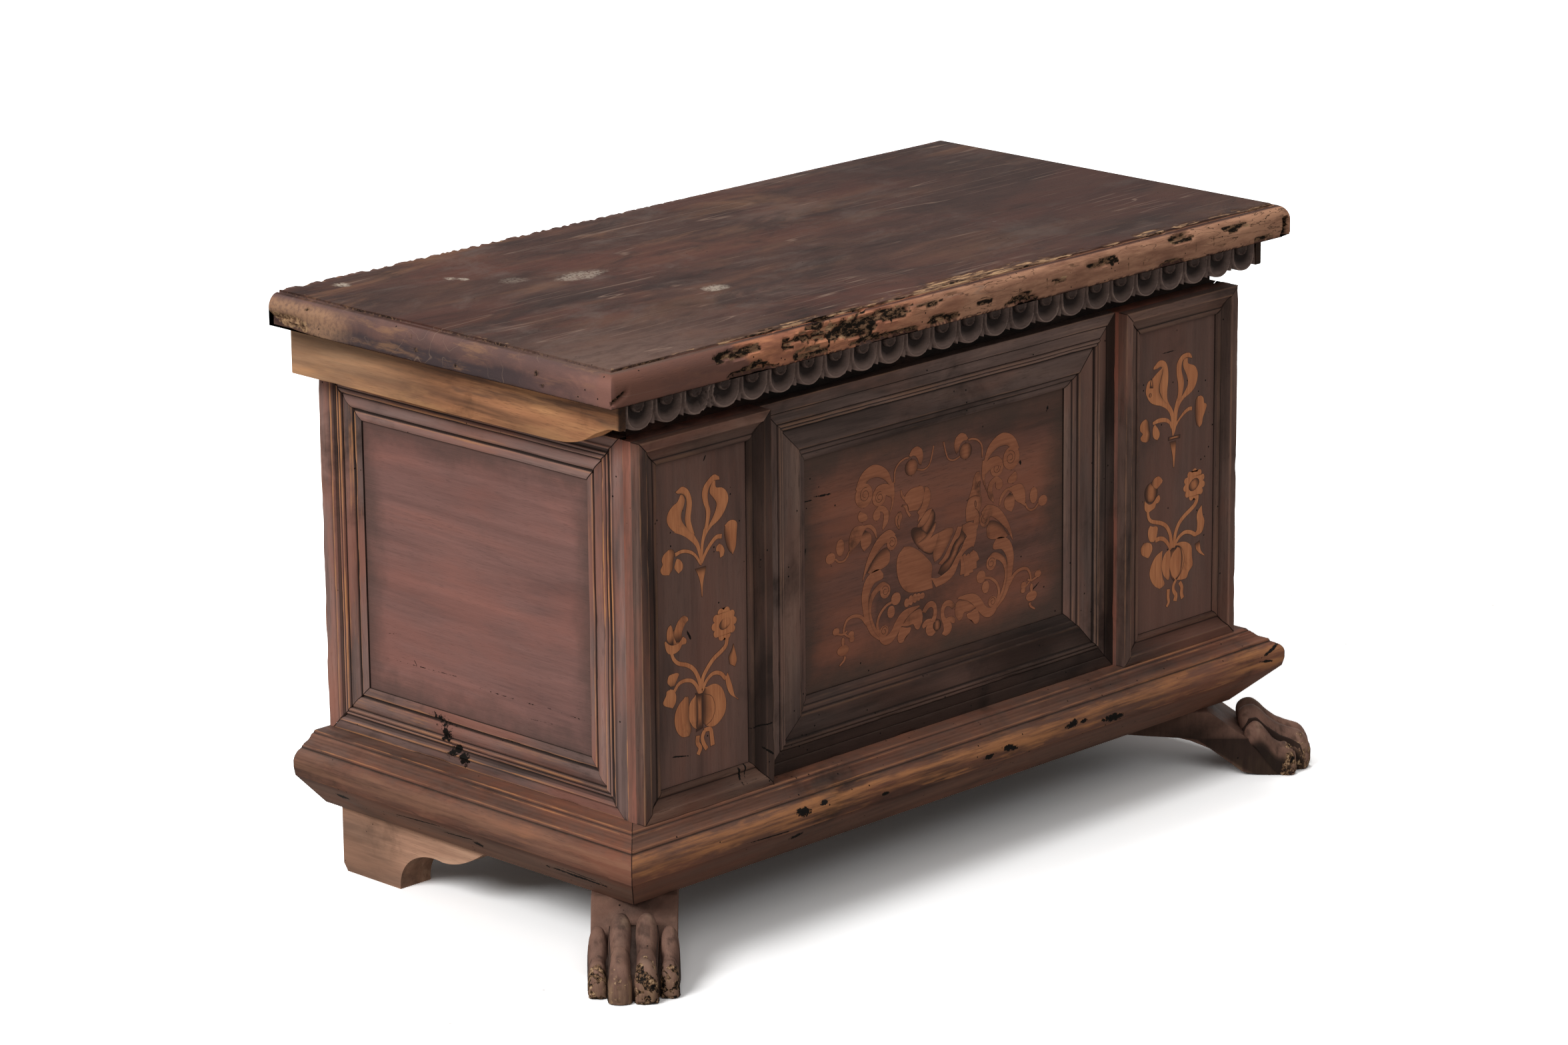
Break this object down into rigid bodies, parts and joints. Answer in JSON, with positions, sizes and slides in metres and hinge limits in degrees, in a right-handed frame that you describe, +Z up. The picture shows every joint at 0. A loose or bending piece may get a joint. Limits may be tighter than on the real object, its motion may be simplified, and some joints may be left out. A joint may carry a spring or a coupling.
{
  "type": "cassone",
  "caption": "Walnut cassone with a hinged board lid, breakfront panelled front inlaid with a bird and flowers, moulded plinth, lion-paw front feet.",
  "frame": {"origin": "on the floor, at the middle of the overall footprint", "axes": "+X to the right along the front, +Y to the back, +Z up; the inlaid front faces -Y"},
  "size_m": [1.0554, 0.5488, 0.622],
  "materials": {
    "hinge_iron": "dark forged iron, rusted",
    "pilaster_ground": "dark stained walnut, waxed",
    "centre_ground": "red-brown walnut, waxed",
    "end_panel_walnut": "red-brown walnut, waxed",
    "moulding_walnut": "dark walnut, waxed and worn",
    "lid_walnut": "dark walnut, waxed and scratched",
    "carved_walnut": "nearly black walnut",
    "cleat_walnut": "golden brown walnut",
    "base_walnut": "brown walnut, worn",
    "foot_walnut": "brown walnut, dry and worn",
    "carcass_wood": "plain old poplar and walnut"
  },
  "bodies": {
    "case": {"back_board": "carcass_wood", "bottom_board": "carcass_wood", "case_hinge_nails": "hinge_iron", "centre_moulding_bottom": "moulding_walnut", "centre_moulding_left": "moulding_walnut", "centre_moulding_right": "moulding_walnut", "centre_moulding_top": "moulding_walnut", "centre_panel": "centre_ground", "front_base_moulding": "base_walnut", "front_board": "carcass_wood", "hinge_pins": "hinge_iron", "left_back_foot": "foot_walnut", "left_base_moulding": "base_walnut", "left_end_board": "carcass_wood", "left_end_moulding_back": "moulding_walnut", "left_end_moulding_bottom": "moulding_walnut", "left_end_moulding_front": "moulding_walnut", "left_end_moulding_top": "moulding_walnut", "left_end_panel": "end_panel_walnut", "left_hinge_case_leaf": "hinge_iron", "left_paw_foot": "foot_walnut", "left_pilaster_block": "moulding_walnut", "left_pilaster_moulding_bottom": "moulding_walnut", "left_pilaster_moulding_left": "moulding_walnut", "left_pilaster_moulding_right": "moulding_walnut", "left_pilaster_moulding_top": "moulding_walnut", "left_pilaster_panel": "pilaster_ground", "right_back_foot": "foot_walnut", "right_base_moulding": "base_walnut", "right_end_board": "carcass_wood", "right_end_moulding_back": "moulding_walnut", "right_end_moulding_bottom": "moulding_walnut", "right_end_moulding_front": "moulding_walnut", "right_end_moulding_top": "moulding_walnut", "right_end_panel": "end_panel_walnut", "right_hinge_case_leaf": "hinge_iron", "right_paw_foot": "foot_walnut", "right_pilaster_block": "moulding_walnut", "right_pilaster_moulding_bottom": "moulding_walnut", "right_pilaster_moulding_left": "moulding_walnut", "right_pilaster_moulding_right": "moulding_walnut", "right_pilaster_moulding_top": "moulding_walnut", "right_pilaster_panel": "pilaster_ground"},
    "lid": {"carved_strip": "carved_walnut", "left_hinge_lid_leaf": "hinge_iron", "left_lid_cleat": "cleat_walnut", "lid_board": "lid_walnut", "lid_hinge_nails": "hinge_iron", "right_hinge_lid_leaf": "hinge_iron", "right_lid_cleat": "cleat_walnut"}
  },
  "joints": [
    {"name": "lid_hinge", "type": "hinge", "parent": "case", "child": "lid", "pos_m": [0, 0.27004, 0.586], "axis": [-1, 0, 0], "range_deg": [0, 95]}
  ]
}
